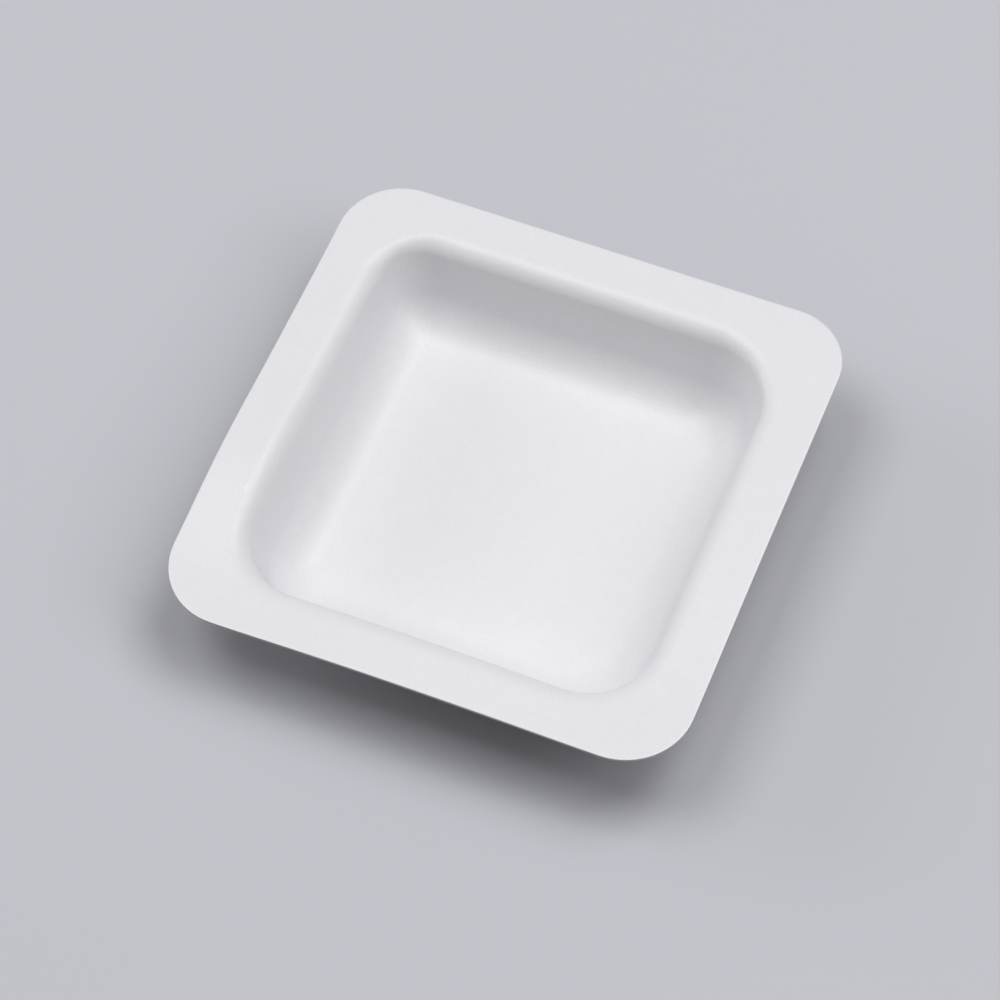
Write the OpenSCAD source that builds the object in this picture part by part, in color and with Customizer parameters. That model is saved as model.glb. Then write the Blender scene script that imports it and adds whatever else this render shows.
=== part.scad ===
// Square weighing boat, drawn from a single sheet of polystyrene.
// Millimetres. The origin is the middle of the floor's underside, and +Z points up.

/* [Overall] */
// Side of the square rim, from edge to edge
rim_w = 41; // [30:0.5:120]
// Height of the top of the rim above the table
boat_h = 8; // [5.5:0.5:20]

/* [Sheet] */
// Thickness of the rim, which keeps the gauge of the sheet
rim_t = 0.3; // [0.2:0.05:0.8]
// Thickness of the well, where the sheet thins as it is drawn
well_t = 0.25; // [0.15:0.05:0.6]

/* [Rim] */
// Width of the flat rim, from its edge to where the lip starts to turn down
flat_w = 3.1; // [1:0.1:8]
// Radius of the rim's corners, seen from above
rim_corner_r = 5; // [1:0.5:10]

/* [Well] */
// Radius of the lip, where the rim turns down into the well
lip_r = 1.6; // [1:0.1:3]
// Lean of the walls from upright, in degrees
draft_a = 13.2; // [5:0.1:35]
// Radius between the walls and the floor, inside the well
floor_r = 3.8; // [1:0.1:6]
// Radius of the corners of the flat floor, seen from above, with 0 for square corners
floor_corner_r = 0; // [0:0.1:3]

/* [Hidden] */
$fn = 96;

// Depth that straight stretches are sunk into the arcs they meet, so that the two always cross
hair = 0.0001;
// Width of flat rim that belongs to the sheet's section, before the rim's own plate takes over
seam_w = 0.5;
// How far the shapes that the section is cut from reach past the sheet
overrun = 1;

function to_micron(x) = round(1000 * x) / 1000;

// The section of the sheet lies in a plane [out, up]. It starts on the upright axis that a
// corner turns about, crosses the edge of the floor, climbs the wall and ends past the lip.
up_wall = [sin(draft_a), cos(draft_a)];
out_of_wall = [cos(draft_a), -sin(draft_a)];
foot_centre = [floor_corner_r, well_t + floor_r];

// Centre of a lip of radius edge_r, which joins a rim at height rim_z to the wall that rises
// from an arc of radius foot_r about foot_centre
function lip_centre(foot_r, edge_r, rim_z) =
    let (foot = foot_centre + foot_r * out_of_wall,
         rise = rim_z - edge_r * (1 - sin(draft_a)) - foot[1])
    foot + up_wall * rise / cos(draft_a) + edge_r * out_of_wall;

under_foot_r = floor_r + well_t;
under_lip_r = lip_r - rim_t;
lip_start = lip_centre(floor_r, lip_r, boat_h)[0];
under_lip_start = lip_centre(under_foot_r, under_lip_r, boat_h - rim_t)[0];
section_w = to_micron(max(lip_start, under_lip_start) + seam_w);

// Distance of the corner axes from the middle, which leaves flat_w of flat rim round the lip
axis_d = to_micron(rim_w / 2 - flat_w - lip_start);

// Half of a disc, on the right of its centre for side 1 and on the left for side -1
module half_disc(centre, r, side) {
    translate(centre) intersection() {
        circle(r);
        translate([side * r, 0]) square([2 * r, 3 * r], center = true);
    }
}

// All that lies below a surface that leaves the floor by an arc of radius foot_r, climbs the
// wall and turns over an arc of radius edge_r onto a rim at rim_z. past carries it over the ends.
module below(foot_r, edge_r, rim_z, past = 0) {
    edge_centre = lip_centre(foot_r, edge_r, rim_z);
    bottom = -overrun - past;
    difference() {
        polygon([
            [-past, bottom],
            [section_w + past, bottom],
            [section_w + past, rim_z],
            edge_centre + [0, edge_r],
            edge_centre - (edge_r - hair) * out_of_wall,
            foot_centre + (foot_r - hair) * out_of_wall,
            foot_centre - [0, foot_r],
            [-past, foot_centre[1] - foot_r]
        ]);
        half_disc(foot_centre, foot_r, 1);
    }
    half_disc(edge_centre, edge_r, -1);
}

// The sheet in section: what is below its top surface and not below its underside
module sheet_section() {
    difference() {
        below(floor_r, lip_r, boat_h);
        below(under_foot_r, under_lip_r, boat_h - rim_t, past = overrun);
    }
}

module rounded_square(w, r) {
    inner = w - 2 * r;
    square([inner, w], center = true);
    square([w, inner], center = true);
    for (x = [-1, 1], y = [-1, 1])
        translate([x, y] * inner / 2) circle(r);
}

module floor_plate() {
    translate([0, 0, well_t / 2])
        cube([2 * axis_d, 2 * axis_d, well_t], center = true);
}

module well_side() {
    translate([axis_d, 0, 0]) rotate([90, 0, 0])
        linear_extrude(2 * axis_d, center = true) sheet_section();
}

module well_corner() {
    translate([axis_d, axis_d, 0])
        rotate_extrude(angle = 90) sheet_section();
}

module flat_rim() {
    translate([0, 0, boat_h - rim_t]) linear_extrude(rim_t) difference() {
        rounded_square(rim_w, rim_corner_r);
        rounded_square(2 * (axis_d + section_w), section_w);
    }
}

// The whole boat is one sheet: the floor, four sides and four corners of the well, and the rim
module boat() {
    color("whitesmoke") {
        floor_plate();
        for (a = [0 : 90 : 270]) rotate(a) {
            well_side();
            well_corner();
        }
        flat_rim();
    }
}

boat();
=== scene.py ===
"""Looks of the square weighing boat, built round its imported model.

Metres, in the model's own frame: the origin is the middle of the floor's underside and +Z
points up. The boat is one drawn sheet, so it is one mesh in one finish.
"""

import logging
import math
from dataclasses import dataclass, field, replace
from enum import Enum

import bmesh
import bpy
from mathutils import Matrix, Vector


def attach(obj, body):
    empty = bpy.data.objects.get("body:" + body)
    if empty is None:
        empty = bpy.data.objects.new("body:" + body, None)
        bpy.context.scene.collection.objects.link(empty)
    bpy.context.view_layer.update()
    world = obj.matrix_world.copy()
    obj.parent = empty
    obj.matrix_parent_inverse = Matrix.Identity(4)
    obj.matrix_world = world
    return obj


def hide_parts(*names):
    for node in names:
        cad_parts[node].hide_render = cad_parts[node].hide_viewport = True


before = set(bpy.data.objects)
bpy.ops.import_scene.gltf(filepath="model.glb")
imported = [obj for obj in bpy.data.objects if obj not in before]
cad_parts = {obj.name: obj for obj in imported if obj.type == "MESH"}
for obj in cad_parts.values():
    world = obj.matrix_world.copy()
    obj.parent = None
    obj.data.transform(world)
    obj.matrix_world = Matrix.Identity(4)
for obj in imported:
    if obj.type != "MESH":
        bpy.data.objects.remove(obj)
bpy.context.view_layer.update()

log = logging.getLogger("boat")

MM = 0.001
# Smallest divisor, which keeps a ray that runs along an axis from dividing by nothing
TINY = 1e-9
# Distance within which two points of the mesh are one
WELD = 1e-8


class Face(Enum):
    """The two faces of the sheet."""

    TOP = "top"
    UNDER = "under"


class Side(Enum):
    """A side of the square well, as the direction in which it faces out."""

    RIGHT = (1, 0)
    BACK = (0, 1)
    LEFT = (-1, 0)
    FRONT = (0, -1)

    @property
    def rises(self) -> bool:
        """Whether X or Y grows along the side, going counter-clockwise round the well."""
        return self in (Side.RIGHT, Side.FRONT)


def arc(centre: Vector, radius: float, start: float, end: float, steps: int) -> list[Vector]:
    """Points along an arc.

    Args:
        centre: Middle of the arc.
        radius: Its radius.
        start: Angle of its first point, in radians.
        end: Angle of its last point, in radians.
        steps: Number of stretches between the first point and the last.

    Returns:
        The steps + 1 points, both ends included.
    """
    angles = [start + (end - start) * i / steps for i in range(steps + 1)]
    return [centre + radius * Vector((math.cos(a), math.sin(a))) for a in angles]


def away_from(azimuth: float, elevation: float) -> Vector:
    """Direction from the boat to what looks at it.

    Args:
        azimuth: Degrees round from the front, toward the right.
        elevation: Degrees above the table.

    Returns:
        The direction, of length 1.
    """
    a, e = math.radians(azimuth), math.radians(elevation)
    return Vector((math.sin(a) * math.cos(e), -math.cos(a) * math.cos(e), math.sin(e)))


@dataclass(frozen=True)
class Bend:
    """A stretch of the section that turns evenly.

    Attributes:
        radius: Radius of the sheet's top face.
        share: Its share of the turn between the level sheet and the wall.
        steps: Number of stretches that it is divided into.
    """

    radius: float
    share: float
    steps: int

    def follow(self, start: Vector, heading: float, turn: float) -> list[tuple[Vector, float]]:
        """Points along the bend, without its start.

        Args:
            start: Where the bend starts.
            heading: Direction of the sheet there, in radians from level.
            turn: Whole turn between the level sheet and the wall, below 0 to turn down.

        Returns:
            Each point with the sheet's direction there.
        """
        side = math.copysign(1.0, turn)
        centre = start + side * self.radius * Vector((-math.sin(heading), math.cos(heading)))
        found = []
        for i in range(1, self.steps + 1):
            slope = heading + turn * self.share * i / self.steps
            spot = centre + side * self.radius * Vector((math.sin(slope), -math.cos(slope)))
            found.append((spot, slope))
        return found


def chain(
    bends: tuple[Bend, ...], start: Vector, heading: float, turn: float
) -> list[tuple[Vector, float]]:
    """Points along a chain of bends.

    Args:
        bends: The bends, in order.
        start: Where the first one starts.
        heading: Direction of the sheet there, in radians from level.
        turn: Whole turn of the chain, below 0 to turn down.

    Returns:
        Each point with the sheet's direction there, the start included.
    """
    found = [(start, heading)]
    for bend in bends:
        found += bend.follow(*found[-1], turn)
    return found


@dataclass(frozen=True)
class Trim:
    """How tightly the sheet was drawn at one place, as factors on the bends' radii."""

    foot: float = 1.0
    lip: float = 1.0

    def toward(self, other: "Trim", share: float) -> "Trim":
        """The trim part of the way to another one.

        Args:
            other: Trim at the far end.
            share: How much of the way to go, from 0 to 1.

        Returns:
            The trim between the two.
        """
        return Trim(
            self.foot + (other.foot - self.foot) * share,
            self.lip + (other.lip - self.lip) * share,
        )


@dataclass(frozen=True)
class SheetSection:
    """Section of the drawn sheet, from the floor's edge out and up over the lip to the rim.

    It is measured outward from where the wall's line, carried down, meets the floor.
    """

    height: float = 8 * MM
    rim_gauge: float = 0.3 * MM
    well_gauge: float = 0.25 * MM
    draft: float = math.radians(13.22)
    floor_bends: tuple[Bend, ...] = (
        Bend(3.83 * MM, 0.24, 6),
        Bend(3.90 * MM, 0.30, 7),
        Bend(3.70 * MM, 0.46, 9),
    )
    lip_bends: tuple[Bend, ...] = (
        Bend(1.55 * MM, 0.6, 12),
        Bend(1.56 * MM, 0.4, 10),
    )
    wall_steps: int = 8

    def points(self, face: Face, trim: Trim) -> list[Vector]:
        """Points of one face's section.

        Args:
            face: Face of the sheet to follow.
            trim: How tightly the sheet is drawn here.

        Returns:
            Points [out, up] from the edge of the flat floor to where the rim starts.
        """
        turn = math.pi / 2 - self.draft
        start = Vector((0, self.well_gauge))
        foot = chain(self._scaled(self.floor_bends, trim.foot), start, 0.0, turn)
        lip = chain(self._scaled(self.lip_bends, trim.lip), Vector((0, 0)), turn, -turn)
        base = foot[-1][0]
        rise = self.height - lip[-1][0].y - base.y
        climb = Vector((rise * math.tan(self.draft), rise))
        inset = Vector((base.x - (base.y - self.well_gauge) * math.tan(self.draft), 0))
        wall = [(base + climb * i / self.wall_steps, turn) for i in range(1, self.wall_steps)]
        over = [(base + climb + point, slope) for point, slope in lip]
        spots = [(point - inset, slope) for point, slope in foot + wall + over]
        if face is Face.TOP:
            return [point for point, _ in spots]
        return [self._beneath(point, slope) for point, slope in spots]

    @staticmethod
    def _scaled(bends: tuple[Bend, ...], factor: float) -> tuple[Bend, ...]:
        """The bends with their radii times a factor."""
        return tuple(replace(bend, radius=bend.radius * factor) for bend in bends)

    def _beneath(self, point: Vector, slope: float) -> Vector:
        """The underside's point that lies one gauge below a point of the top face.

        Args:
            point: Point [out, up] of the top face.
            slope: Direction of the sheet there, in radians from level.

        Returns:
            The underside's point.
        """
        climbed = (point.y - self.well_gauge) / (self.height - self.well_gauge)
        gauge = self.well_gauge + (self.rim_gauge - self.well_gauge) * climbed
        return point + gauge * Vector((math.sin(slope), -math.cos(slope)))


@dataclass(frozen=True)
class Corner:
    """A rounded corner of the boat, between two sides of the well.

    Attributes:
        floor_radius: Radius of the flat floor's corner.
        wall_radius: Radius of the corner where the wall leaves the floor's bend.
        lip_radius: Radius of the corner where the lip meets the rim.
        rim_radius: Radius of the rim's own corner.
        trim: How tightly the sheet is drawn in the corner's middle.
    """

    floor_radius: float
    wall_radius: float
    lip_radius: float
    rim_radius: float
    trim: Trim = Trim()

    def radius(self, out: float, marks: tuple[float, float, float]) -> float:
        """Radius in plan of a point of the section.

        Args:
            out: How far out the point lies.
            marks: How far out the floor's edge, the wall's foot and the lip's end lie.

        Returns:
            The radius on the smooth curve through the corner's three radii.
        """
        low, mid, high = marks
        at_low = (out - mid) * (out - high) / ((low - mid) * (low - high))
        at_mid = (out - low) * (out - high) / ((mid - low) * (mid - high))
        at_high = (out - low) * (out - mid) / ((high - low) * (high - mid))
        return (
            self.floor_radius * at_low + self.wall_radius * at_mid + self.lip_radius * at_high
        )


@dataclass(frozen=True)
class Station:
    """An upright cut through the boat, which knows where each point of its section lies.

    Attributes:
        outline: Plan of the boat that is cut.
        turns: Quarter turns from the right side, or from the corner at its back end.
        share: Place along a side, from 0 at its start to 1, or None in a corner.
        angle: Direction of a corner's cut, in radians, or None on a side.
    """

    outline: "Outline"
    turns: int
    share: float | None = None
    angle: float | None = None

    def place(self, out: float) -> Vector:
        """Plan of a point of the section.

        Args:
            out: How far out from the wall's line the point lies.

        Returns:
            The point's place in plan.
        """
        half, marks = self.outline.well_half + out, self.outline.marks
        ahead = self.outline.corners[self.turns].radius(out, marks)
        if self.angle is not None:
            heading = Vector((math.cos(self.angle), math.sin(self.angle)))
            return self._turned(Vector((half - ahead, half - ahead)) + ahead * heading)
        behind = self.outline.corners[self.turns - 1].radius(out, marks)
        low, high = behind - half, half - ahead
        return self._turned(Vector((half, low + (high - low) * self.share)))

    def trim(self) -> Trim:
        """How tightly the sheet is drawn at the cut.

        Returns:
            The side's trim, or in a corner a blend from the nearer side's to the corner's own.
        """
        sides = self.outline.side_trims
        if self.angle is None:
            return sides[self.turns]
        past = self.angle > math.pi / 4
        near = sides[(self.turns + 1) % len(sides)] if past else sides[self.turns]
        corner = self.outline.corners[self.turns].trim
        return near.toward(corner, math.sin(2 * self.angle) ** 2)

    def middle(self, half: float) -> Vector:
        """Where the cut meets a square inside the floor.

        Args:
            half: Half of the square's side.

        Returns:
            The place in plan.
        """
        if self.angle is not None:
            return self._turned(Vector((half, half)))
        return self._turned(Vector((half, half * (2 * self.share - 1))))

    def edge(self) -> tuple[Vector, Vector]:
        """Where the cut leaves the rim.

        Returns:
            The point on the rim's outline and the outline's outward normal there.
        """
        half, reach = self.outline.floor_half, self.outline.rim_side / 2
        if self.angle is not None:
            point, normal = self.outline.rim_point(self.turns, self.angle)
        else:
            point, normal = Vector((reach, half * (2 * self.share - 1))), Vector((1, 0))
        return self._turned(point), self._turned(normal)

    def _turned(self, spot: Vector) -> Vector:
        """A point or direction of the right side, turned to the cut's own side."""
        return Matrix.Rotation(self.turns * math.pi / 2, 2) @ spot


@dataclass(frozen=True)
class Outline:
    """Plan of the boat: the square of the well and the rounded square of the rim.

    Attributes:
        rim_side: Side of the rim.
        floor_half: Half of the flat floor's side.
        well_half: Distance from the middle to the wall's line, carried down to the floor.
        marks: How far out from that line the floor's edge, the wall's foot and the lip's end lie.
        side_trims: Trims of the right, back, left and front sides.
        corners: Corners back right, back left, front left and front right.
        corner_steps: Number of stretches that a corner is divided into.
    """

    rim_side: float = 41 * MM
    floor_half: float = 11.305 * MM
    well_half: float = 14.336 * MM
    marks: tuple[float, float, float] = (-3.03 * MM, 0.66 * MM, 3.05 * MM)
    side_trims: tuple[Trim, ...] = (
        Trim(0.96, 0.93),
        Trim(0.96, 1.0),
        Trim(1.0, 1.1),
        Trim(1.02, 1.1),
    )
    corners: tuple[Corner, ...] = (
        Corner(2.50 * MM, 4.85 * MM, 6.85 * MM, 4.8 * MM, Trim(1.12, 0.86)),
        Corner(0.40 * MM, 2.60 * MM, 5.20 * MM, 5.0 * MM, Trim(1.0, 0.78)),
        Corner(2.90 * MM, 4.28 * MM, 6.55 * MM, 5.3 * MM, Trim(1.05, 1.21)),
        Corner(2.65 * MM, 4.64 * MM, 7.40 * MM, 5.2 * MM, Trim(1.04, 1.20)),
    )
    corner_steps: int = 32

    def rim_point(self, turns: int, angle: float) -> tuple[Vector, Vector]:
        """Where a ray from a corner of the floor leaves the rim, before it is turned.

        Args:
            turns: Number of the corner.
            angle: Direction of the ray, in radians.

        Returns:
            The point on the rim's outline and the outline's outward normal there.
        """
        half, round_off = self.rim_side / 2, self.corners[turns].rim_radius
        foot = Vector((self.floor_half, self.floor_half))
        heading = Vector((math.cos(angle), math.sin(angle)))
        centre = Vector((half - round_off, half - round_off))
        for axis, normal in ((0, Vector((1, 0))), (1, Vector((0, 1)))):
            point = foot + heading * (half - self.floor_half) / max(heading[axis], TINY)
            if point[1 - axis] <= centre[1 - axis]:
                return point, normal
        back = foot - centre
        along = heading.dot(back)
        point = foot + heading * (
            math.sqrt(along * along - back.length_squared + round_off * round_off) - along
        )
        return point, (point - centre) / round_off

    def corner_angles(self, turns: int) -> list[float]:
        """Angles of the cuts round a corner, with one where the rim's arc starts and ends.

        Args:
            turns: Number of the corner.

        Returns:
            The angles in order, in radians, without those of the sides.
        """
        reach = self.rim_side / 2 - self.floor_half
        turn = math.atan2(reach - self.corners[turns].rim_radius, reach)
        straight = max(1, round(self.corner_steps * turn / (math.pi / 2)))
        curved = self.corner_steps - 2 * straight
        angles = [turn * i / straight for i in range(1, straight)]
        angles += [turn + (math.pi / 2 - 2 * turn) * i / curved for i in range(curved + 1)]
        angles += [math.pi / 2 - turn + turn * i / straight for i in range(1, straight)]
        return angles

    def stations(self, shares: dict[Side, list[float]]) -> list[Station]:
        """Every cut round the boat, starting at the front end of the right side.

        Args:
            shares: For each side, where its cuts lie, from 0 at its start to 1 at its end.

        Returns:
            The cuts in order, counter-clockwise.
        """
        found = []
        for turns, side in enumerate(Side):
            found += [Station(self, turns, share=share) for share in shares[side]]
            found += [Station(self, turns, angle=a) for a in self.corner_angles(turns)]
        return found


@dataclass(frozen=True)
class Bump:
    """A soft rise or dip of the rim: how high it is, where, and how far it spreads."""

    height: float
    x: float
    y: float
    spread: float

    def at(self, x: float, y: float) -> float:
        """Height of the bump at a place in plan."""
        away = (x - self.x) ** 2 + (y - self.y) ** 2
        return self.height * math.exp(-away / (2 * self.spread**2))


@dataclass(frozen=True)
class Warp:
    """How the rim of a drawn sheet lies off its plane, from the way that it was handled.

    Attributes:
        bumps: Broad rises and dips.
        dents: Two small marks on the left lip.
    """

    bumps: tuple[Bump, ...] = (
        Bump(-0.81 * MM, -18.0 * MM, -15.0 * MM, 6.9 * MM),
        Bump(0.80 * MM, -18.1 * MM, -8.0 * MM, 5.2 * MM),
        Bump(-0.50 * MM, 15.4 * MM, -13.3 * MM, 4.8 * MM),
        Bump(-0.11 * MM, 12.0 * MM, 19.6 * MM, 13.8 * MM),
        Bump(-0.17 * MM, -20.5 * MM, 12.5 * MM, 4.0 * MM),
    )
    dents: tuple[Bump, ...] = (
        Bump(0.022 * MM, -17.50 * MM, -9.4 * MM, 0.30 * MM),
        Bump(0.012 * MM, -17.95 * MM, -9.95 * MM, 0.20 * MM),
    )

    def shift(self, x: float, y: float, share: float) -> float:
        """Height to add at a point.

        Args:
            x: Place across the boat.
            y: Place along the boat.
            share: Height of the point as a share of the boat's, so that the floor stays flat.

        Returns:
            The shift along Z.
        """
        return sum(bump.at(x, y) for bump in self.bumps + self.dents) * share * share


@dataclass(frozen=True)
class Scuff:
    """A small rubbed place, where the sheet has whitened.

    Attributes:
        place: Its middle.
        reach: How far it reaches each way.
    """

    place: tuple[float, float, float]
    reach: tuple[float, float, float]


@dataclass(frozen=True)
class Polystyrene:
    """White drawn polystyrene sheet: matte to satin, with a very fine grain.

    Attributes:
        name: Name of the material.
        color: Its colour.
        roughness: Mean roughness.
        specular: Level of its gloss.
        grain_size: Size of the fine grain.
        mottle_size: Size of the clouding in the sheet.
        grain_depth: Height that the grain stands for.
        tone_spread: How far the colour strays from its mean, as a share of it.
        whitening: How much paler a scuff is, as a share of the colour.
        refraction: Index of refraction of polystyrene.
        satin_spread: How far the roughness strays from its mean.
        grain_share: Share of the grain in the tone, with the rest left to the clouding.
        grain_detail: Levels of finer noise in the grain.
        mottle_detail: Levels of finer noise in the clouding.
        bump_strength: Strength of the grain's relief.
        scuff_edge: Where a scuff ends and where it is full, as shares of its reach.
        scuffs: Rubbed places.
    """

    name: str = "polystyrene"
    color: tuple[float, float, float] = (0.787, 0.788, 0.817)
    roughness: float = 0.41
    specular: float = 0.5
    grain_size: float = 0.22 * MM
    mottle_size: float = 1.6 * MM
    grain_depth: float = 0.03 * MM
    tone_spread: float = 0.06
    whitening: float = 0.05
    refraction: float = 1.59
    satin_spread: float = 0.08
    grain_share: float = 0.75
    grain_detail: float = 3.0
    mottle_detail: float = 2.0
    bump_strength: float = 0.5
    scuff_edge: tuple[float, float] = (1.4, 0.3)
    scuffs: tuple[Scuff, ...] = (
        Scuff((-17.22 * MM, -9.4 * MM, 8.2 * MM), (0.22 * MM, 0.42 * MM, 1 * MM)),
        Scuff((-17.74 * MM, -9.32 * MM, 8.2 * MM), (0.13 * MM, 0.13 * MM, 1 * MM)),
        Scuff((-17.80 * MM, -9.94 * MM, 8.1 * MM), (0.14 * MM, 0.13 * MM, 1 * MM)),
    )

    def material(self) -> bpy.types.Material:
        """Builds the finish as a node material.

        Returns:
            The material.
        """
        made = bpy.data.materials.new(self.name)
        made.use_nodes = True
        tree = made.node_tree
        shader = tree.nodes["Principled BSDF"]
        shader.inputs["IOR"].default_value = self.refraction
        shader.inputs["Specular IOR Level"].default_value = self.specular

        place = tree.nodes.new("ShaderNodeTexCoord").outputs["Object"]
        grain = self._noise(tree, place, self.grain_size, self.grain_detail)
        mottle = self._noise(tree, place, self.mottle_size, self.mottle_detail)
        clouding = self._sum(tree, mottle, 1 - self.grain_share, None)
        tone = self._sum(tree, grain, self.grain_share, clouding)

        tint = tree.nodes.new("ShaderNodeMix")
        tint.data_type = "RGBA"
        tint.inputs["A"].default_value = self._toned(1 - self.tone_spread)
        tint.inputs["B"].default_value = self._toned(1 + self.tone_spread)
        tree.links.new(tone, tint.inputs["Factor"])
        rubbed = tree.nodes.new("ShaderNodeMix")
        rubbed.data_type = "RGBA"
        rubbed.inputs["B"].default_value = self._toned(1 + self.whitening)
        tree.links.new(self._rubbing(tree, place), rubbed.inputs["Factor"])
        tree.links.new(tint.outputs["Result"], rubbed.inputs["A"])
        tree.links.new(rubbed.outputs["Result"], shader.inputs["Base Color"])

        satin = tree.nodes.new("ShaderNodeMapRange")
        satin.inputs["To Min"].default_value = self.roughness - self.satin_spread
        satin.inputs["To Max"].default_value = self.roughness + self.satin_spread
        tree.links.new(grain, satin.inputs["Value"])
        tree.links.new(satin.outputs["Result"], shader.inputs["Roughness"])

        bump = tree.nodes.new("ShaderNodeBump")
        bump.inputs["Strength"].default_value = self.bump_strength
        bump.inputs["Distance"].default_value = self.grain_depth
        tree.links.new(grain, bump.inputs["Height"])
        tree.links.new(bump.outputs["Normal"], shader.inputs["Normal"])
        return made

    def _toned(self, factor: float) -> tuple[float, float, float, float]:
        """The colour times a factor, with full alpha."""
        return (*[c * factor for c in self.color], 1)

    def _rubbing(
        self, tree: bpy.types.NodeTree, place: bpy.types.NodeSocket
    ) -> bpy.types.NodeSocket:
        """Adds the scuffs.

        Args:
            tree: Node tree to add to.
            place: Place on the boat.

        Returns:
            How rubbed the sheet is, from 0 to 1.
        """
        total = None
        for scuff in self.scuffs:
            near = tree.nodes.new("ShaderNodeMapping")
            near.inputs["Scale"].default_value = [1 / r for r in scuff.reach]
            near.inputs["Location"].default_value = [
                -p / r for p, r in zip(scuff.place, scuff.reach)
            ]
            tree.links.new(place, near.inputs["Vector"])
            away = tree.nodes.new("ShaderNodeVectorMath")
            away.operation = "LENGTH"
            tree.links.new(near.outputs["Vector"], away.inputs[0])
            fade = tree.nodes.new("ShaderNodeMapRange")
            fade.interpolation_type = "SMOOTHSTEP"
            fade.inputs["From Min"].default_value = self.scuff_edge[0]
            fade.inputs["From Max"].default_value = self.scuff_edge[1]
            tree.links.new(away.outputs["Value"], fade.inputs["Value"])
            total = self._sum(tree, fade.outputs["Result"], 1.0, total)
        return total

    @staticmethod
    def _sum(
        tree: bpy.types.NodeTree,
        value: bpy.types.NodeSocket,
        weight: float,
        more: bpy.types.NodeSocket | None,
    ) -> bpy.types.NodeSocket:
        """Adds weight times a value to another value.

        Args:
            tree: Node tree to add to.
            value: Value to weigh.
            weight: Its weight.
            more: Value to add it to, or None for 0.

        Returns:
            The sum, kept between 0 and 1.
        """
        node = tree.nodes.new("ShaderNodeMath")
        node.operation = "MULTIPLY_ADD"
        node.use_clamp = True
        node.inputs[1].default_value = weight
        node.inputs[2].default_value = 0.0
        tree.links.new(value, node.inputs[0])
        if more is not None:
            tree.links.new(more, node.inputs[2])
        return node.outputs[0]

    @staticmethod
    def _noise(
        tree: bpy.types.NodeTree, place: bpy.types.NodeSocket, size: float, detail: float
    ) -> bpy.types.NodeSocket:
        """Adds a noise.

        Args:
            tree: Node tree to add to.
            place: Place on the boat.
            size: About how wide its features are.
            detail: Levels of finer noise in it.

        Returns:
            The noise's value.
        """
        node = tree.nodes.new("ShaderNodeTexNoise")
        node.inputs["Scale"].default_value = 1 / size
        node.inputs["Detail"].default_value = detail
        tree.links.new(place, node.inputs["Vector"])
        return node.outputs["Fac"]


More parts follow.
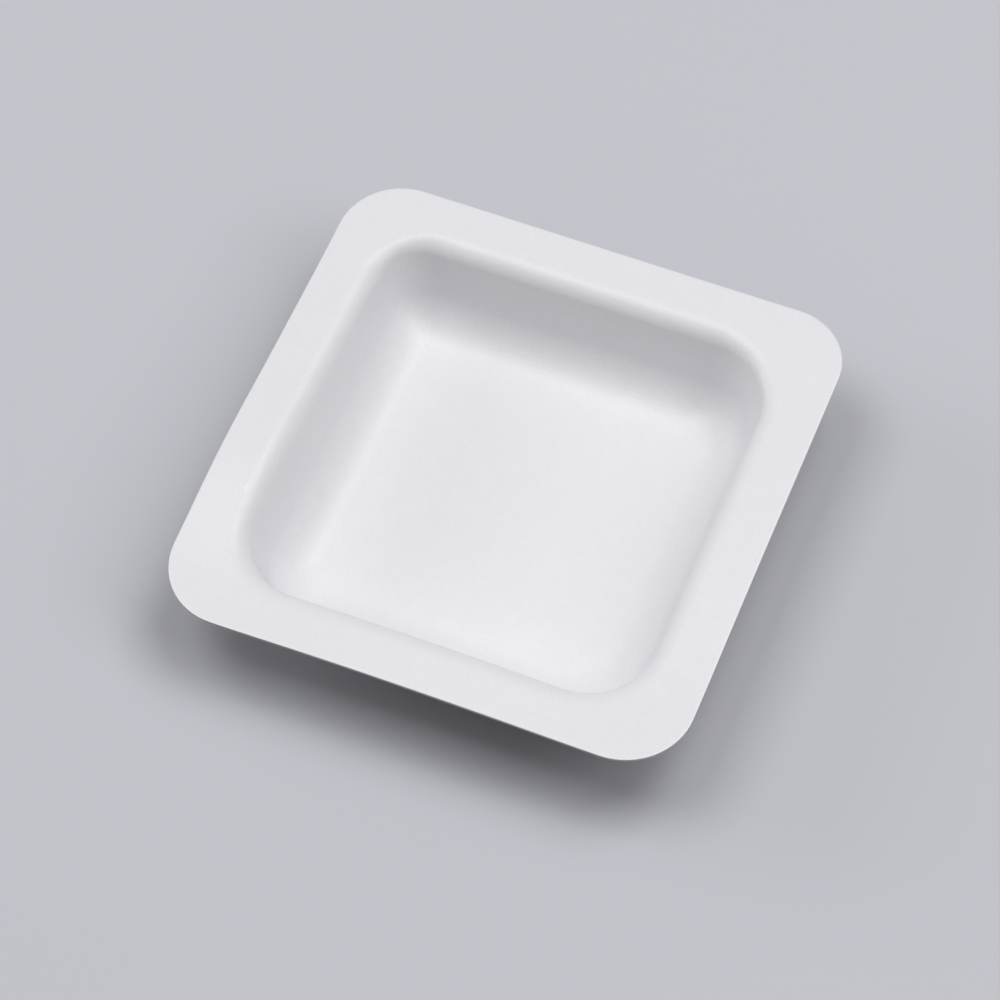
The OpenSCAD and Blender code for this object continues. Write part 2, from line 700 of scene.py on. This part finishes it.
@dataclass
class Boat:
    """The weighing boat: floor, walls, lip and rim, drawn from one sheet.

    Attributes:
        section: Section of the sheet.
        outline: Plan of the boat.
        warp: How the rim lies off its plane.
        finish: Look of the sheet.
        edge_bends: Bends by which the rim's top face rolls over into its cut edge.
        lower_arris: Radius of the cut edge's lower arris.
        arris_steps: Number of stretches that it is divided into.
        edge_margin: Width of flat rim kept just inside the cut edge.
        flat_steps: Number of stretches across the flat of the rim.
        side_steps: Number of stretches along a side.
        close_cuts: Places of extra cuts, close together, by the marks on the left lip.
        floor_margin: Width of floor between its grid and the walls' bend.
    """

    section: SheetSection = field(default_factory=SheetSection)
    outline: Outline = field(default_factory=Outline)
    warp: Warp = field(default_factory=Warp)
    finish: Polystyrene = field(default_factory=Polystyrene)
    edge_bends: tuple[Bend, ...] = (Bend(0.7 * MM, 0.19, 6), Bend(0.03 * MM, 0.81, 6))
    lower_arris: float = 0.04 * MM
    arris_steps: int = 5
    edge_margin: float = 0.1 * MM
    flat_steps: int = 8
    side_steps: int = 26
    close_cuts: tuple[float, ...] = tuple((-10.3 + 0.15 * i) * MM for i in range(16))
    floor_margin: float = 2 * MM

    def build(self) -> bpy.types.Object:
        """Builds the boat's mesh and dresses it.

        Returns:
            The boat, as one piece.
        """
        half = self.outline.floor_half
        shares = sorted(
            {i / self.side_steps for i in range(self.side_steps + 1)}
            | {(place / half + 1) / 2 for place in self.close_cuts}
        )
        stations = self.outline.stations({side: self._ordered(side, shares) for side in Side})
        bm = bmesh.new()
        rings = [[bm.verts.new(p) for p in self._loop(s)] for s in stations]
        for i, ring in enumerate(rings):
            after = rings[(i + 1) % len(rings)]
            for j in range(len(ring) - 1):
                bm.faces.new((ring[j], ring[j + 1], after[j + 1], after[j]))
        self._floor(bm, shares, self.section.well_gauge, up=True)
        self._floor(bm, shares, 0.0, up=False)
        bmesh.ops.remove_doubles(bm, verts=bm.verts, dist=WELD)
        for vert in bm.verts:
            x, y, z = vert.co
            vert.co.z += self.warp.shift(x, y, z / self.section.height)
        for face in bm.faces:
            face.smooth = True
        bmesh.ops.recalc_face_normals(bm, faces=bm.faces)
        mesh = bpy.data.meshes.new("weighing_boat")
        bm.to_mesh(mesh)
        bm.free()
        mesh.materials.append(self.finish.material())
        piece = bpy.data.objects.new("weighing_boat", mesh)
        bpy.context.scene.collection.objects.link(piece)
        return piece

    @staticmethod
    def _ordered(side: Side, shares: list[float]) -> list[float]:
        """Shares along a side from its own start, from shares that grow with X or Y."""
        return list(shares) if side.rises else [1 - share for share in reversed(shares)]

    def _loop(self, station: Station) -> list[Vector]:
        """Points of one cut, from the floor's top face over the rim to its underside.

        Args:
            station: The cut.

        Returns:
            The points in space, in order.
        """
        hub = station.middle(self.outline.floor_half - self.floor_margin)
        trim = station.trim()
        top = [self._lift(station, p) for p in self.section.points(Face.TOP, trim)]
        under = [self._lift(station, p) for p in self.section.points(Face.UNDER, trim)]
        over = self._cut(station)
        first = Vector((*hub, self.section.well_gauge))
        last = Vector((*hub, 0.0))
        flat = self._flat(top[-1], over[0])
        below = self._flat(under[-1], over[-1])
        return [first] + top + flat + over + below[::-1] + under[::-1] + [last]

    @staticmethod
    def _lift(station: Station, point: Vector) -> Vector:
        """A point [out, up] of the section, placed in space."""
        return Vector((*station.place(point.x), point.y))

    def _cut(self, station: Station) -> list[Vector]:
        """Points over the rim's cut edge: the face rolls over into it, and it stands upright.

        Args:
            station: The cut through the boat that the points belong to.

        Returns:
            The points in space, from the top face to the underside.
        """
        high = self.section.height
        low, s = high - self.section.rim_gauge, self.lower_arris
        quarter = math.pi / 2
        roll = [spot for spot, _ in chain(self.edge_bends, Vector((0, high)), 0.0, -quarter)]
        reach = Vector((roll[-1].x, 0))
        over = [spot - reach for spot in roll]
        over += arc(Vector((-s, low + s)), s, 0, -quarter, self.arris_steps)
        inner = over[0].x - self.edge_margin
        spots = [Vector((inner, high)), *over, Vector((inner, low))]
        point, normal = station.edge()
        return [Vector((*(point + normal * p.x), p.y)) for p in spots]

    def _flat(self, inner: Vector, outer: Vector) -> list[Vector]:
        """Points across the flat of the rim, both ends left out."""
        return [inner.lerp(outer, i / self.flat_steps) for i in range(1, self.flat_steps)]

    def _floor(
        self, bm: bmesh.types.BMesh, shares: list[float], height: float, up: bool
    ) -> None:
        """Adds one face of the flat floor as a grid of quads.

        Args:
            bm: Mesh to add to.
            shares: Places of the grid's lines, from 0 to 1, the same both ways.
            height: Height of the face.
            up: Whether the face looks up.
        """
        half = self.outline.floor_half - self.floor_margin
        lines = [half * (2 * share - 1) for share in shares]
        rows = [[bm.verts.new((x, y, height)) for x in lines] for y in lines]
        for low, high in zip(rows, rows[1:]):
            for i in range(len(lines) - 1):
                corners = (low[i], low[i + 1], high[i + 1], high[i])
                bm.faces.new(corners if up else corners[::-1])


@dataclass(frozen=True)
class Softbox:
    """A square area lamp that looks at the boat.

    Attributes:
        name: Name of the lamp.
        azimuth: Degrees round from the front, toward the right.
        elevation: Degrees above the table.
        side: Side of its square.
        power: Power, in watts.
        distance: Distance from what it is aimed at.
    """

    name: str
    azimuth: float
    elevation: float
    side: float
    power: float
    distance: float = 0.6

    def build(self, target: Vector) -> bpy.types.Object:
        """Makes the lamp.

        Args:
            target: Point that it is aimed at.

        Returns:
            The lamp.
        """
        lamp = bpy.data.lights.new(self.name, "AREA")
        lamp.shape = "SQUARE"
        lamp.size = self.side
        lamp.energy = self.power
        placed = bpy.data.objects.new(self.name, lamp)
        back = away_from(self.azimuth, self.elevation)
        placed.location = target + back * self.distance
        placed.rotation_mode = "QUATERNION"
        placed.rotation_quaternion = (-back).to_track_quat("-Z", "Y")
        bpy.context.scene.collection.objects.link(placed)
        return placed


@dataclass
class Studio:
    """Pale floor, soft lamps and the even light of a pale room.

    Attributes:
        floor_color: Colour of the floor.
        bounce_color: Colour by which the floor throws soft light back.
        floor_size: Side of the floor.
        floor_cells: Number of cells along each side of the floor's mesh.
        floor_roughness: Roughness of the floor.
        floor_specular: Level of the floor's gloss.
        room_color: Colour of the room's light.
        room_strength: Strength of the room's light.
        aim: Point that the lamps are aimed at.
        lamps: The lamps.
    """

    floor_color: tuple[float, float, float] = (0.56, 0.565, 0.61)
    bounce_color: tuple[float, float, float] = (0.16, 0.16, 0.175)
    floor_size: float = 4.0
    floor_cells: int = 8
    floor_roughness: float = 0.6
    floor_specular: float = 0.2
    room_color: tuple[float, float, float] = (1.0, 1.0, 1.0)
    room_strength: float = 0.176
    aim: tuple[float, float, float] = (0.0, 0.0, 4 * MM)
    lamps: tuple[Softbox, ...] = (
        Softbox("overhead_left", 270, 68, 0.3, 1.060),
        Softbox("overhead_back", 135, 68, 0.3, 1.450),
        Softbox("right_fill", 90, 45, 0.3, 0.698),
        Softbox("left_fill", 270, 20, 0.3, 0.798),
    )

    def build(self) -> None:
        """Makes the floor, the lamps and the room's light."""
        self._floor()
        self._room()
        for lamp in self.lamps:
            lamp.build(Vector(self.aim))
            log.info("lamp %s: %.2f W", lamp.name, lamp.power)

    def _floor(self) -> None:
        """A plain pale floor that throws little light back up at the rim's cut edge."""
        bm = bmesh.new()
        cells, reach = self.floor_cells, self.floor_size / 2
        bmesh.ops.create_grid(bm, x_segments=cells, y_segments=cells, size=reach)
        mesh = bpy.data.meshes.new("studio_floor")
        bm.to_mesh(mesh)
        bm.free()
        made = bpy.data.materials.new("studio_floor")
        made.use_nodes = True
        shader = made.node_tree.nodes["Principled BSDF"]
        tone = made.node_tree.nodes.new("ShaderNodeMix")
        tone.data_type = "RGBA"
        tone.inputs["A"].default_value = (*self.floor_color, 1)
        tone.inputs["B"].default_value = (*self.bounce_color, 1)
        ray = made.node_tree.nodes.new("ShaderNodeLightPath")
        made.node_tree.links.new(ray.outputs["Is Diffuse Ray"], tone.inputs["Factor"])
        made.node_tree.links.new(tone.outputs["Result"], shader.inputs["Base Color"])
        shader.inputs["Roughness"].default_value = self.floor_roughness
        shader.inputs["Specular IOR Level"].default_value = self.floor_specular
        mesh.materials.append(made)
        floor = bpy.data.objects.new("studio_floor", mesh)
        bpy.context.scene.collection.objects.link(floor)

    def _room(self) -> None:
        """Even light from all round."""
        world = bpy.data.worlds.new("room")
        world.use_nodes = True
        shade = world.node_tree.nodes["Background"]
        shade.inputs["Color"].default_value = (*self.room_color, 1)
        shade.inputs["Strength"].default_value = self.room_strength
        bpy.context.scene.world = world


@dataclass(frozen=True)
class Viewpoint:
    """Camera that looks down on the boat.

    Attributes:
        target: Point at the middle of the picture.
        azimuth: Degrees round from the front, toward the right.
        elevation: Degrees above the table.
        roll: Degrees that the camera is turned about its line of sight.
        distance: Distance from the target.
        lens: Focal length, in millimetres.
        sensor: Width of the sensor, in millimetres.
        near: Nearest distance that it sees.
        far: Farthest distance that it sees.
    """

    target: tuple[float, float, float] = (-0.296 * MM, -1.282 * MM, 4 * MM)
    azimuth: float = 25.144
    elevation: float = 58.725
    roll: float = -3.392
    distance: float = 0.27553
    lens: float = 131.564
    sensor: float = 36.0
    near: float = 0.01
    far: float = 20.0

    def build(self) -> bpy.types.Object:
        """Makes the camera and sets it as the scene's.

        Returns:
            The camera.
        """
        data = bpy.data.cameras.new("camera")
        data.sensor_fit = "HORIZONTAL"
        data.sensor_width = self.sensor
        data.lens = self.lens
        data.clip_start = self.near
        data.clip_end = self.far
        camera = bpy.data.objects.new("camera", data)
        back = away_from(self.azimuth, self.elevation)
        a = math.radians(self.azimuth)
        right = Vector((math.cos(a), math.sin(a), 0))
        up = back.cross(right)
        tilt = math.radians(self.roll)
        right, up = (
            right * math.cos(tilt) + up * math.sin(tilt),
            up * math.cos(tilt) - right * math.sin(tilt),
        )
        turn = Matrix((right, up, back)).transposed().to_4x4()
        camera.matrix_world = Matrix.Translation(
            Vector(self.target) + back * self.distance
        ) @ turn
        bpy.context.scene.collection.objects.link(camera)
        bpy.context.scene.camera = camera
        return camera


def main() -> None:
    """Builds the boat, then the studio and the camera."""
    boat = Boat().build()
    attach(boat, "root")
    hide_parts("boat")
    log.info("piece %s: %d faces", boat.name, len(boat.data.polygons))

    Studio().build()
    Viewpoint().build()
    bpy.context.scene.view_settings.view_transform = "Standard"


if __name__ == "__main__":
    logging.basicConfig(level=logging.INFO, format="%(name)s: %(message)s")
    main()
